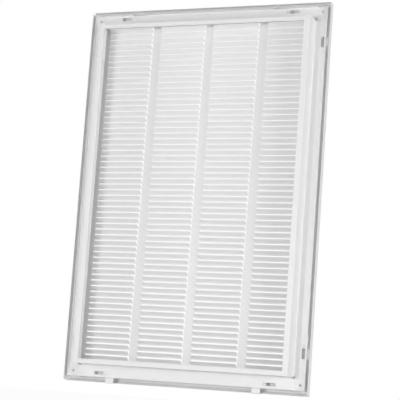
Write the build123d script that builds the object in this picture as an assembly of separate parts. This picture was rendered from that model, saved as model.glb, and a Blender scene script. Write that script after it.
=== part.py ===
from build123d import *
import math
import os

# Return air filter grille of folded sheet steel, for a 20 by 30 inch duct opening.
# +Z is up, +X to the right and -Y towards the room, as seen from the room.
# The origin is the centre of the four screw holes, on the flange's wall side.

# Duct opening that the collar goes into
duct_width = 508.0
duct_height = 762.0
collar_clearance = 2.0

# Sheet metal
frame_sheet = 0.7
face_sheet = 0.6
seam_gap = 0.2

# Wall frame: rim that stops the filter, collar, flange and its outer return
collar_depth = 35.0
stile_rim_width = 12.5
rail_rim_width = 10.0
rim_bend = 1.6
collar_bend = 1.5
flange_width = 27.5
return_height = 6.5
return_bend = 0.8
seam_from_collar = 5.0
corner_relief = 3.0
relief_height = 2.5

# Tongues of the rails that lap the stiles in front of the flange seams
tongue_length = 6.5
tongue_width = 15.0
tongue_root = 1.2

# Screw holes at the frame's corners
screw_hole_radius = 2.4
screw_inset = 11.5

# Clip seats: a slot, and a half dome beside it with its mouth towards the slot
slot_length = 22.0
slot_width = 7.0
slot_inset = 9.0
slot_from_screw = 65.0
dome_from_slot = 15.0
dome_length = 5.0
dome_width = 7.0
dome_height = 3.0
dome_facets = 10

# Hinge hooks on the bottom rail, which carry the lip of the face
hook_spacing = 345.0
hook_width = 19.0
hook_relief = 1.0
hook_bend = 2.4
hook_clearance = 0.6
hook_tip_height = 2.5
hook_notch_depth = 2.0
hook_notch_side = 1.0

# Spring catches, cut from the top rail's return, which grip the lip of the face
catch_spacing = 340.0
catch_length = 35.0
catch_end_gap = 1.5
catch_edge_cut = 1.5
catch_root = 3.0
catch_lead = 2.0
catch_ramp = 15.0
catch_nose = 6.0
catch_fall = 4.0
catch_bend = 5.0
catch_clearance = 0.3

# Small spring near the foot of the left stile, cut from its return in the same way
spring_from_screw = 107.0
spring_length = 22.0
spring_ramp = 8.0
spring_nose = 5.0
spring_fall = 1.0
spring_bulge = 1.5

# Face: folded lips round the frame, bevelled edge and flat margin
lip_gap = 7.25
bottom_lip_gap = 10.75
face_setback = 13.0
bevel = 6.5
lip_corner_cut = 2.5

# Louvres, stamped in columns, each blade bent back from the bridge below it
column_count = 4
row_count = 60
louvre_margin_x = 39.25
louvre_margin_z = 33.6
strip_width = 20.0
bridge_height = 1.7
blade_bend = 1.9
blade_angle = 48.0
blade_straight = 9.1
blade_end_gap = 0.8

# Sizes that follow from the values above
collar_half_x = duct_width / 2 - collar_clearance
collar_half_z = duct_height / 2 - collar_clearance
flange_half_x = collar_half_x + flange_width
flange_half_z = collar_half_z + flange_width
seam_x = collar_half_x + seam_from_collar
screw_x = flange_half_x - screw_inset
screw_z = flange_half_z - screw_inset
lip_inner_x = flange_half_x + lip_gap
lip_inner_z = flange_half_z + lip_gap
lip_outer_x = lip_inner_x + face_sheet
lip_outer_z = lip_inner_z + face_sheet
lip_bottom_z = flange_half_z + bottom_lip_gap + face_sheet
face_rear = face_sheet - face_setback
hook_reach = lip_bottom_z + hook_clearance + frame_sheet
column_pitch = (2 * (lip_inner_x - louvre_margin_x) + strip_width) / column_count
column_width = column_pitch - strip_width
louvre_height = 2 * (lip_inner_z - louvre_margin_z)
row_pitch = (louvre_height + bridge_height) / row_count

# Section plane across the rails and the louvres: first Z, then Y
across = Plane(origin=(0, 0, 0), x_dir=(0, 0, 1), z_dir=(-1, 0, 0))


def block(x_range, y_range, z_range):
    """Box between the given limits, each in either order."""
    size = [abs(high - low) for low, high in (x_range, y_range, z_range)]
    middle = [(high + low) / 2 for low, high in (x_range, y_range, z_range)]
    return Pos(*middle) * Box(*size)


def line_beside(points, distance):
    """Line to the right of the given one, with mitred corners."""
    normals = []
    for start, end in zip(points, points[1:]):
        run = math.dist(start, end)
        normals.append(((end[1] - start[1]) / run, (start[0] - end[0]) / run))
    befores = [normals[0], *normals]
    afters = [*normals, normals[-1]]
    beside = []
    for point, before, after in zip(points, befores, afters):
        reach = distance / (1 + before[0] * after[0] + before[1] * after[1])
        beside.append((point[0] + (before[0] + after[0]) * reach, point[1] + (before[1] + after[1]) * reach))
    return beside


def bent_sheet(points, bends, sheet):
    """Section of a bent sheet to the right of a line, with the line's radius at each bend."""
    other_bends = []
    for start, corner, end, radius in zip(points, points[1:], points[2:], bends):
        turn = (corner[0] - start[0]) * (end[1] - corner[1]) - (corner[1] - start[1]) * (end[0] - corner[0])
        other_bends.append(radius + math.copysign(sheet, turn))
    beside = line_beside(points, sheet)
    near_side = FilletPolyline(*points, radius=bends)
    far_side = FilletPolyline(*beside, radius=other_bends)
    start_edge = Line(points[0], beside[0])
    end_edge = Line(points[-1], beside[-1])
    return make_face([*near_side.edges(), *far_side.edges(), start_edge, end_edge])


def member_section(collar_half, flange_half, rim_width):
    """Section of a frame member, from the rim round the collar to the outer return."""
    points = [
        (collar_half - rim_width, collar_depth),
        (collar_half, collar_depth),
        (collar_half, 0),
        (flange_half - frame_sheet, 0),
        (flange_half - frame_sheet, return_height),
    ]
    return bent_sheet(points, [rim_bend, collar_bend, return_bend], frame_sheet)


def add_clip_seat(member, place):
    """Cuts a clip slot along the place's X axis and raises the half dome behind it."""
    slot = block((-slot_length / 2, slot_length / 2), (-1, 1), (-slot_width / 2, slot_width / 2))
    slope = math.atan2(dome_height, dome_length)
    radius = (dome_width**2 / 4 + dome_height**2) / (2 * dome_height)
    axis_height = dome_height - radius / math.cos(slope)
    axis = Pos(-dome_from_slot, axis_height, 0) * Rot(0, 0, math.degrees(slope)) * Rot(0, 90, 0)
    run = 2 * dome_length
    outside = axis * extrude(RegularPolygon(radius, dome_facets), amount=run, both=True)
    inside = axis * extrude(RegularPolygon(radius - frame_sheet, dome_facets), amount=run, both=True)
    behind_mouth = (-dome_from_slot - run, -dome_from_slot)
    room = block(behind_mouth, (-frame_sheet, 2 * dome_height), (-dome_width, dome_width))
    dome = (outside - inside) & room
    return member - place * slot - place * (inside & room) + place * dome


def corner_reliefs(side):
    """Square openings at the foot of the collar's upper and lower corner on one side."""
    reach = (side * (collar_half_x - corner_relief), side * (collar_half_x + corner_relief))
    relief = block(reach, (-1, relief_height), (collar_half_z - corner_relief, collar_half_z + corner_relief))
    return [relief, mirror(relief, about=Plane.XY)]


def make_stile():
    """Right stile: full-height flange, with the collar wall between the rails."""
    section = member_section(collar_half_x, flange_half_x, stile_rim_width)
    stile = extrude(section, amount=flange_half_z, both=True)
    inner_x = collar_half_x - stile_rim_width - 1
    slot_x = flange_half_x - slot_inset
    slot_z = screw_z - slot_from_screw
    for end in (1, -1):
        beyond_collar = (end * collar_half_z, end * (flange_half_z + 1))
        stile -= block((inner_x, seam_x), (-1, collar_depth + 1), beyond_collar)
        screw_hole = Rot(90, 0, 0) * Cylinder(screw_hole_radius, 4 * frame_sheet)
        stile -= Pos(screw_x, 0, end * screw_z) * screw_hole
        stile = add_clip_seat(stile, Pos(slot_x, 0, end * slot_z) * Rot(0, -90 * end, 0))
    return stile - corner_reliefs(1)


def make_rail():
    """Rail as on top of the frame, between the stiles, without catches or hooks."""
    section = member_section(collar_half_z, flange_half_z, rail_rim_width)
    half_length = seam_x - seam_gap
    rail = extrude(across * section, amount=half_length, both=True)
    wall_end = collar_half_x - frame_sheet - seam_gap
    rim_end = collar_half_x - stile_rim_width - seam_gap
    rim_bottom = collar_depth - frame_sheet - seam_gap
    inner_z = collar_half_z - rail_rim_width - 1
    bend_end = collar_half_z + collar_bend
    tongue_z = (bend_end + flange_half_z) / 2
    slot_x = screw_x - slot_from_screw
    slot_z = flange_half_z - slot_inset
    for end in (1, -1):
        beyond = end * (half_length + 1)
        rail -= block((end * wall_end, beyond), (-1, collar_depth + 1), (inner_z, bend_end))
        rail -= block((end * rim_end, beyond), (rim_bottom, collar_depth + 1), (inner_z, bend_end))
        rail += block(
            (end * (half_length - tongue_root), end * (seam_x + tongue_length)),
            (-2 * frame_sheet, -frame_sheet),
            (tongue_z - tongue_width / 2, tongue_z + tongue_width / 2),
        )
        rail = add_clip_seat(rail, Pos(slot_x * end, 0, slot_z) * Rot(0, 90 - 90 * end, 0))
    return rail - corner_reliefs(1) - corner_reliefs(-1)


def make_leaf(root_x, length, ramp, nose, fall, edge_z, nose_z):
    """Leaf spring of a return: it bows out from the edge to its nose and falls to its free end."""
    ramp_x = root_x + catch_lead
    nose_x = ramp_x + ramp
    points = [
        (root_x - catch_root, edge_z),
        (ramp_x, edge_z),
        (nose_x, nose_z),
        (nose_x + nose, nose_z),
        (root_x + length - catch_end_gap, nose_z - fall),
    ]
    section = bent_sheet(points, [catch_bend] * 3, frame_sheet)
    blade_foot = return_bend + frame_sheet
    return extrude(Plane.XZ.offset(-return_height) * section, amount=return_height - blade_foot)


def make_left_stile(right_stile):
    """Left stile: the right one mirrored, with a small spring cut free from its return."""
    root = screw_z - spring_from_screw
    edge = (flange_half_x - catch_edge_cut, flange_half_x + 1)
    cut = block(edge, (-1, return_height + 1), (-root - spring_length, -root))
    nose_x = flange_half_x + spring_bulge
    leaf = make_leaf(root, spring_length, spring_ramp, spring_nose, spring_fall, flange_half_x, nose_x)
    return mirror(right_stile - cut + Rot(0, 90, 0) * leaf, about=Plane.YZ)


def make_rail_top():
    """Top rail, with a spring catch cut free from its return near each end."""
    rail = make_rail()
    root_x = (catch_spacing - catch_length) / 2
    nose_z = lip_inner_z - catch_clearance
    catch = make_leaf(root_x, catch_length, catch_ramp, catch_nose, catch_fall, flange_half_z, nose_z)
    for end in (1, -1):
        cut = (end * root_x, end * (root_x + catch_length))
        rail -= block(cut, (-1, return_height + 1), (flange_half_z - catch_edge_cut, flange_half_z + 1))
    return rail + catch + mirror(catch, about=Plane.YZ)


def make_rail_bottom():
    """Bottom rail, with a hinge hook bent over from its return near each end."""
    rail = make_rail()
    foot = return_height / 2
    points = [
        (flange_half_z - frame_sheet, foot),
        (flange_half_z - frame_sheet, return_height),
        (hook_reach, return_height),
        (hook_reach, hook_tip_height),
    ]
    section = bent_sheet(points, [hook_bend, hook_bend], frame_sheet)
    hook = extrude(across * section, amount=hook_width / 2, both=True)
    relief_half = hook_width / 2 + hook_relief
    for end in (1, -1):
        middle = end * hook_spacing / 2
        cut = (middle - relief_half, middle + relief_half)
        edge = (flange_half_z - return_bend - frame_sheet, flange_half_z + 1)
        rail -= block(cut, (foot, return_height + 1), edge)
        rail += Pos(middle, 0, 0) * hook
    return mirror(rail, about=Plane.XY)


def bevelled_block(half_x, low_z, high_z, front, rear, edge):
    """Block with its four front edges bevelled."""
    body = block((-half_x, half_x), (front, rear), (low_z, high_z))
    return chamfer(body.faces().sort_by(Axis.Y)[0].edges(), edge)


def make_face_panel():
    """Face: a folded pan with lips, notched for the hooks, and its louvres."""
    inner_bevel = bevel - face_sheet * (2 - math.sqrt(2))
    outside = bevelled_block(lip_outer_x, -lip_bottom_z, lip_outer_z, -face_setback, return_height, bevel)
    inside_bottom = face_sheet - lip_bottom_z
    open_rear = return_height + 1
    inside = bevelled_block(lip_inner_x, inside_bottom, lip_inner_z, face_rear, open_rear, inner_bevel)
    pan = outside - inside
    cuts = []
    corner_top = (lip_outer_z - lip_corner_cut, lip_outer_z + 1)
    corner_bottom = (lip_corner_cut - lip_bottom_z, -lip_bottom_z - 1)
    for side in (1, -1):
        corner_x = (side * (lip_outer_x - lip_corner_cut), side * (lip_outer_x + 1))
        for corner_z in (corner_top, corner_bottom):
            cuts.append(block(corner_x, (bevel - face_setback, return_height + 1), corner_z))
        notch_half = hook_width / 2 + hook_notch_side
        notch_x = (side * hook_spacing / 2 - notch_half, side * hook_spacing / 2 + notch_half)
        notch_y = (return_height - hook_notch_depth, return_height + 1)
        cuts.append(block(notch_x, notch_y, (-lip_bottom_z - 1, inside_bottom + 1)))
    return add_louvres(pan - cuts)


def add_louvres(pan):
    """Opens the louvre windows in the pan and bends a blade back from each, in two creases."""
    half_width = column_width / 2
    turn = math.radians(blade_angle)
    chord = 2 * blade_bend * math.sin(turn / 2)
    bend_end = (chord * math.cos(turn / 2), face_rear + chord * math.sin(turn / 2))
    tip = (bend_end[0] + blade_straight * math.cos(turn), bend_end[1] + blade_straight * math.sin(turn))
    points = [(-bridge_height / 2, face_rear), (0, face_rear), bend_end, tip]
    section = make_face(Polyline(*points, *reversed(line_beside(points, face_sheet)), close=True).edges())
    blade = extrude(across * section, amount=half_width - blade_end_gap, both=True)
    through = (-face_setback - 1, face_rear + 1)
    window = block((-half_width, half_width), through, (0, row_pitch - bridge_height))
    first_x = -(column_count - 1) * column_pitch / 2
    places = []
    for column in range(column_count):
        for row in range(row_count):
            places.append(Pos(first_x + column * column_pitch, 0, row * row_pitch - louvre_height / 2))
    return pan - [place * window for place in places] + [place * blade for place in places]


os.makedirs("parts", exist_ok=True)
right_stile = make_stile()
parts = {
    "frame_stile_right": right_stile,
    "frame_stile_left": make_left_stile(right_stile),
    "frame_rail_top": make_rail_top(),
    "frame_rail_bottom": make_rail_bottom(),
    "face_panel": make_face_panel(),
}
for name, shape in parts.items():
    export_step(shape, f"parts/{name}.step")
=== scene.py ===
import logging
import math
from dataclasses import dataclass
from enum import Enum
from typing import Any, Sequence

import bpy
from mathutils import Matrix, Vector

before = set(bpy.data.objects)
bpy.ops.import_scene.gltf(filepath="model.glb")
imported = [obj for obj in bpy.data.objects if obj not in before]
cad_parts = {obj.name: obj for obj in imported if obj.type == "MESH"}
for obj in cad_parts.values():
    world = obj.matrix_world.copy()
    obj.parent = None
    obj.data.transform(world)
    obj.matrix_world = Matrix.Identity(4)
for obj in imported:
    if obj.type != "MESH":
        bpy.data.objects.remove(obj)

Colour = tuple[float, float, float]
Place = tuple[float, float, float]
Socket = bpy.types.NodeSocket

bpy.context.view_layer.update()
LOG = logging.getLogger("grille")
MM = 0.001
PURE_WHITE = (1.0, 1.0, 1.0, 1.0)
FACE_WHITE: Colour = (0.86, 0.86, 0.86)
FACE_THIN_WHITE: Colour = (0.84, 0.84, 0.84)
FRAME_WHITE: Colour = (0.87, 0.87, 0.87)
FRAME_THIN_WHITE: Colour = (0.85, 0.85, 0.85)

# Sockets of a colour Mix node, which share their names with those for numbers and vectors.
MIX_FACTOR = 0
MIX_FIRST = 6
MIX_SECOND = 7
MIX_COLOUR = 2


class Node(Enum):
    """Sheet-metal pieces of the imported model."""

    FACE_PANEL = "face_panel"
    RAIL_TOP = "frame_rail_top"
    RAIL_BOTTOM = "frame_rail_bottom"
    STILE_LEFT = "frame_stile_left"
    STILE_RIGHT = "frame_stile_right"


class Graph:
    """Node tree of one material or world, with a method that adds any node."""

    def __init__(self, tree: bpy.types.NodeTree) -> None:
        """Empties the tree and keeps it."""
        self.tree = tree
        self.tree.nodes.clear()

    def add(
        self, kind: str, settings: dict[str, Any] | None = None, **inputs: Any
    ) -> bpy.types.Node:
        """Adds one node.

        Args:
            kind: Blender's type name of the node.
            settings: properties of the node, set before its sockets.
            inputs: values or links for sockets, named with underscores for spaces.

        Returns:
            The new node.
        """
        node = self.tree.nodes.new(kind)
        for name, value in (settings or {}).items():
            setattr(node, name, value)
        for name, value in inputs.items():
            self.feed(node.inputs[name.replace("_", " ")], value)
        return node

    def feed(self, socket: Socket, value: Any) -> None:
        """Links a signal to a socket, or sets the socket's own value.

        Args:
            socket: the input that takes the value.
            value: a signal or another node's output to link, or a plain value.
        """
        if isinstance(value, Signal):
            self.tree.links.new(value.socket, socket)
        elif isinstance(value, Socket):
            self.tree.links.new(value, socket)
        else:
            socket.default_value = value

    def maths(self, operation: str, *values: Any) -> "Signal":
        """Adds one Math node.

        Args:
            operation: the node's operation.
            values: numbers or signals for its sockets, in order.

        Returns:
            The node's result.
        """
        node = self.add("ShaderNodeMath", {"operation": operation})
        for socket, value in zip(node.inputs, values):
            self.feed(socket, value)
        return Signal(self, node.outputs[0])


class Signal:
    """Number carried by a shader socket, with Python's operators."""

    def __init__(self, graph: Graph, socket: Socket) -> None:
        """Keeps the socket and the graph that it is in."""
        self.graph = graph
        self.socket = socket

    def __add__(self, other: "Signal | float") -> "Signal":
        """Sum."""
        return self.graph.maths("ADD", self, other)

    __radd__ = __add__

    def __mul__(self, other: "Signal | float") -> "Signal":
        """Product."""
        return self.graph.maths("MULTIPLY", self, other)

    __rmul__ = __mul__

    def __sub__(self, other: "Signal | float") -> "Signal":
        """Difference."""
        return self.graph.maths("SUBTRACT", self, other)

    def __rsub__(self, other: "Signal | float") -> "Signal":
        """Reflected difference."""
        return self.graph.maths("SUBTRACT", other, self)

    def clamped(self) -> "Signal":
        """The same number kept between 0 and 1.

        Returns:
            The result of a Math node that holds the number in that range.
        """
        held = self.graph.maths("ADD", self, 0.0)
        held.socket.node.use_clamp = True
        return held


@dataclass(frozen=True)
class PowderCoat:
    """White powder coat on sheet steel: satin, with a faint orange peel and uneven thickness.

    Broad clouds and fine specks show where the coat is thin. The dents are round marks that a
    tool pressed into the sheet, given by their middles in metres.
    """

    name: str
    colour: Colour
    thin_colour: Colour
    roughness: float = 0.42
    roughness_spread: float = 0.06
    refraction: float = 1.5
    peel_per_metre: float = 420.0
    peel_detail: float = 2.0
    peel_strength: float = 0.06
    peel_height: float = 0.1 * MM
    cloud_per_metre: float = 9.0
    cloud_detail: float = 3.0
    cloud_share: float = 0.7
    speck_per_metre: float = 2600.0
    speck_detail: float = 1.0
    speck_share: float = 0.3
    noise_middle: float = 0.5
    dents: tuple[Place, ...] = ()
    dent_radius: float = 5.0 * MM
    dent_depth: float = 2.4 * MM

    def build(self) -> bpy.types.Material:
        """Makes the material.

        Returns:
            The material, with its nodes.
        """
        material = bpy.data.materials.new(self.name)
        material.use_nodes = True
        graph = Graph(material.node_tree)
        place = graph.add("ShaderNodeTexCoord").outputs["Object"]
        clouds = self._noise(graph, place, self.cloud_per_metre, self.cloud_detail)
        peel = self._noise(graph, place, self.peel_per_metre, self.peel_detail)
        specks = self._noise(graph, place, self.speck_per_metre, self.speck_detail)
        mixed = graph.add("ShaderNodeMix", {"data_type": "RGBA"})
        thin = (clouds * self.cloud_share + specks * self.speck_share).clamped()
        graph.feed(mixed.inputs[MIX_FACTOR], thin)
        graph.feed(mixed.inputs[MIX_FIRST], (*self.colour, 1.0))
        graph.feed(mixed.inputs[MIX_SECOND], (*self.thin_colour, 1.0))
        shader = graph.add("ShaderNodeBsdfPrincipled", Metallic=0.0, IOR=self.refraction)
        graph.feed(shader.inputs["Base Color"], mixed.outputs[MIX_COLOUR])
        graph.feed(shader.inputs["Roughness"], self._rough(peel, clouds))
        graph.feed(shader.inputs["Normal"], self._relief(graph, place, peel))
        output = graph.add("ShaderNodeOutputMaterial")
        graph.feed(output.inputs["Surface"], shader.outputs["BSDF"])
        return material

    def _rough(self, peel: Signal, clouds: Signal) -> Signal:
        """Roughness, which follows the orange peel and the clouds.

        Args:
            peel: noise of the orange peel.
            clouds: noise of the broad clouds.

        Returns:
            The roughness at the object's own place.
        """
        fine = (peel - self.noise_middle) * self.roughness_spread
        broad = (clouds - self.noise_middle) * self.roughness_spread
        return fine + broad + self.roughness

    def _relief(self, graph: Graph, place: Socket, peel: Signal) -> Socket:
        """Relief of the orange peel, over that of the dents where the sheet has any.

        Args:
            graph: node tree of the material.
            place: the object's own coordinates.
            peel: noise of the orange peel.

        Returns:
            The normal of the relief.
        """
        bump = graph.add("ShaderNodeBump", Strength=self.peel_strength, Distance=self.peel_height)
        graph.feed(bump.inputs["Height"], peel)
        if self.dents:
            pressed = graph.add("ShaderNodeBump", {"invert": True}, Distance=self.dent_depth)
            graph.feed(pressed.inputs["Height"], self._dent_profile(graph, place))
            graph.feed(bump.inputs["Normal"], pressed.outputs["Normal"])
        return bump.outputs["Normal"]

    def _dent_profile(self, graph: Graph, place: Socket) -> Signal:
        """Depth of the round dents, as a share of their full depth.

        Args:
            graph: node tree of the material.
            place: the object's own coordinates.

        Returns:
            One in the middle of a dent, falling to zero at its edge.
        """
        depth: Signal | float = 0.0
        for middle in self.dents:
            away = graph.add("ShaderNodeVectorMath", {"operation": "DISTANCE"})
            graph.feed(away.inputs[0], place)
            graph.feed(away.inputs[1], middle)
            near = (1.0 - Signal(graph, away.outputs["Value"]) * (1.0 / self.dent_radius)).clamped()
            depth = near * near + depth
        return depth

    def _noise(self, graph: Graph, place: Socket, scale: float, detail: float) -> Signal:
        """Noise of the object's own place, from 0 to 1.

        Args:
            graph: node tree of the material.
            place: the object's own coordinates.
            scale: number of grains in a metre.
            detail: number of finer layers.

        Returns:
            The noise.
        """
        noise = graph.add("ShaderNodeTexNoise", Vector=place, Scale=scale, Detail=detail)
        return Signal(graph, noise.outputs["Fac"])


@dataclass
class Sheets:
    """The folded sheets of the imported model, dressed in powder coat.

    The collar wall of each stile has a small pressed dent near each end.
    """

    collar_half_width: float = 252.0 * MM
    dent_behind_flange: float = 10.0 * MM
    dent_heights: tuple[float, ...] = (303.0 * MM, -300.0 * MM)

    def dress(self) -> None:
        """Gives each packed sheet its finish."""
        face = PowderCoat("face_powder_coat", FACE_WHITE, FACE_THIN_WHITE).build()
        rail = PowderCoat("rail_powder_coat", FRAME_WHITE, FRAME_THIN_WHITE).build()
        finishes = {Node.FACE_PANEL: face, Node.RAIL_TOP: rail, Node.RAIL_BOTTOM: rail}
        for node, side in ((Node.STILE_LEFT, -1.0), (Node.STILE_RIGHT, 1.0)):
            finishes[node] = self._stile_finish(f"{node.value}_powder_coat", side).build()
        for node, material in finishes.items():
            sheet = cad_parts[node.value]
            sheet.data.materials.clear()
            sheet.data.materials.append(material)
            LOG.info("dressed %s with %s", sheet.name, material.name)

    def _stile_finish(self, name: str, side: float) -> PowderCoat:
        """Powder coat of one stile, with the dents of its collar wall.

        Args:
            name: name of the material.
            side: -1 for the stile at -X, and 1 for the one at +X.

        Returns:
            The finish, not yet built.
        """
        wall = side * self.collar_half_width
        dents = tuple((wall, self.dent_behind_flange, height) for height in self.dent_heights)
        return PowderCoat(name, FRAME_WHITE, FRAME_THIN_WHITE, dents=dents)


@dataclass
class Softbox:
    """Square soft lamp that looks at the grille's middle, with its side and distance in metres.

    Its turn runs from straight behind the grille towards +X: past 90 degrees it is in the room.
    """

    name: str
    turn_deg: float
    rise_deg: float
    side: float
    watts: float
    distance: float = 3.0

    def place(self) -> Vector:
        """Place of the lamp.

        Returns:
            Its middle, in metres.
        """
        turn, rise = math.radians(self.turn_deg), math.radians(self.rise_deg)
        level = self.distance * math.cos(rise)
        height = self.distance * math.sin(rise)
        return Vector((level * math.sin(turn), level * math.cos(turn), height))

    def build(self) -> None:
        """Adds the lamp."""
        bpy.ops.object.light_add(type="AREA", location=self.place())
        lamp = bpy.context.object
        lamp.name = self.name
        lamp.data.shape = "SQUARE"
        lamp.data.size = self.side
        lamp.data.energy = self.watts
        lamp.rotation_euler = self.place().to_track_quat("Z", "Y").to_euler()
        LOG.info("lamp %s of %.1f W", self.name, self.watts)


@dataclass
class Studio:
    """White studio: world, floor and lamps."""

    lamps: list[Softbox]
    world_strength: float = 0.17
    floor_height: float = -0.62
    floor_side: float = 60.0
    floor_grey: float = 0.9
    floor_glow: float = 0.82

    def build(self) -> None:
        """Makes the world, the floor and the lamps."""
        self._make_world()
        self._make_floor()
        for lamp in self.lamps:
            lamp.build()

    def _make_world(self) -> None:
        """World that is white to the camera and dimmer as a light."""
        world = bpy.data.worlds.new("studio_air")
        bpy.context.scene.world = world
        world.use_nodes = True
        graph = Graph(world.node_tree)
        strength = self._seen(graph) * (1.0 - self.world_strength) + self.world_strength
        background = graph.add("ShaderNodeBackground", Color=PURE_WHITE, Strength=strength)
        output = graph.add("ShaderNodeOutputWorld")
        graph.feed(output.inputs["Surface"], background.outputs["Background"])

    def _seen(self, graph: Graph) -> Signal:
        """Marks what is seen, mirrored or seen through, and not what only gives light.

        Args:
            graph: node tree of the world or the floor.

        Returns:
            One for a ray that shows the surface, and zero for the rest.
        """
        rays = graph.add("ShaderNodeLightPath").outputs
        seen = Signal(graph, rays["Is Camera Ray"]) + Signal(graph, rays["Is Glossy Ray"])
        return (seen + Signal(graph, rays["Is Transmission Ray"])).clamped()

    def _make_floor(self) -> None:
        """Pale floor well below the hung grille, which keeps its shadow."""
        middle = (0.0, 0.0, self.floor_height)
        bpy.ops.mesh.primitive_plane_add(size=self.floor_side, location=middle)
        floor = bpy.context.object
        floor.name = "studio_floor"
        material = bpy.data.materials.new("floor_paper")
        material.use_nodes = True
        graph = Graph(material.node_tree)
        grey = (self.floor_grey, self.floor_grey, self.floor_grey, 1.0)
        paper = graph.add("ShaderNodeBsdfDiffuse", Color=grey)
        strength = self._seen(graph) * self.floor_glow
        glow = graph.add("ShaderNodeEmission", Color=PURE_WHITE, Strength=strength)
        both = graph.add("ShaderNodeAddShader")
        graph.feed(both.inputs[0], paper.outputs["BSDF"])
        graph.feed(both.inputs[1], glow.outputs["Emission"])
        output = graph.add("ShaderNodeOutputMaterial")
        graph.feed(output.inputs["Surface"], both.outputs["Shader"])
        floor.data.materials.append(material)
        LOG.info("laid %s", floor.name)


@dataclass
class PhotoCamera:
    """Camera behind the grille, a little below its middle, fitted to the photo's screw holes."""

    focal_px: float = 1488.5
    picture_px: float = 400.0
    sensor_mm: float = 36.0
    turn_deg: float = -25.09
    tilt_deg: float = -7.38
    roll_deg: float = -4.1
    across: float = -9.0 * MM
    above: float = 12.1 * MM
    distance: float = 3226.0 * MM
    far_clip: float = 100.0

    def build(self) -> None:
        """Adds the camera and makes it the scene's."""
        from_behind = Matrix(((-1, 0, 0), (0, 0, 1), (0, 1, 0)))
        turned = Matrix.Rotation(math.radians(self.roll_deg), 3, "Z")
        turned = turned @ Matrix.Rotation(math.radians(self.tilt_deg), 3, "X")
        turned = turned @ Matrix.Rotation(math.radians(self.turn_deg), 3, "Y")
        axes = from_behind @ turned.transposed()
        place = axes @ Vector((-self.across, -self.above, self.distance))
        bpy.ops.object.camera_add()
        camera = bpy.context.object
        camera.name = "photo_camera"
        camera.matrix_world = Matrix.Translation(place) @ axes.to_4x4()
        camera.data.sensor_width = self.sensor_mm
        camera.data.lens = self.focal_px * self.sensor_mm / self.picture_px
        camera.data.clip_end = self.far_clip
        bpy.context.scene.camera = camera
        LOG.info("camera %s of %.1f mm", camera.name, camera.data.lens)


def main() -> None:
    """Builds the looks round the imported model."""
    logging.basicConfig(level=logging.INFO)
    Sheets().dress()
    lamps = [
        Softbox("key_lamp", turn_deg=15.0, rise_deg=-3.0, side=0.5, watts=24.5),
        Softbox("right_fill", turn_deg=-68.0, rise_deg=0.0, side=1.2, watts=36.0),
        Softbox("left_fill", turn_deg=76.0, rise_deg=0.0, side=1.2, watts=25.0),
        Softbox("camera_fill", turn_deg=-25.0, rise_deg=-5.0, side=1.0, watts=5.5),
        Softbox("top_fill", turn_deg=-25.0, rise_deg=50.0, side=1.0, watts=6.0),
        Softbox("room_lamp", turn_deg=155.0, rise_deg=42.0, side=1.6, watts=38.0),
    ]
    Studio(lamps).build()
    PhotoCamera().build()
    bpy.context.scene.view_settings.view_transform = "Standard"


if __name__ == "__main__":
    main()
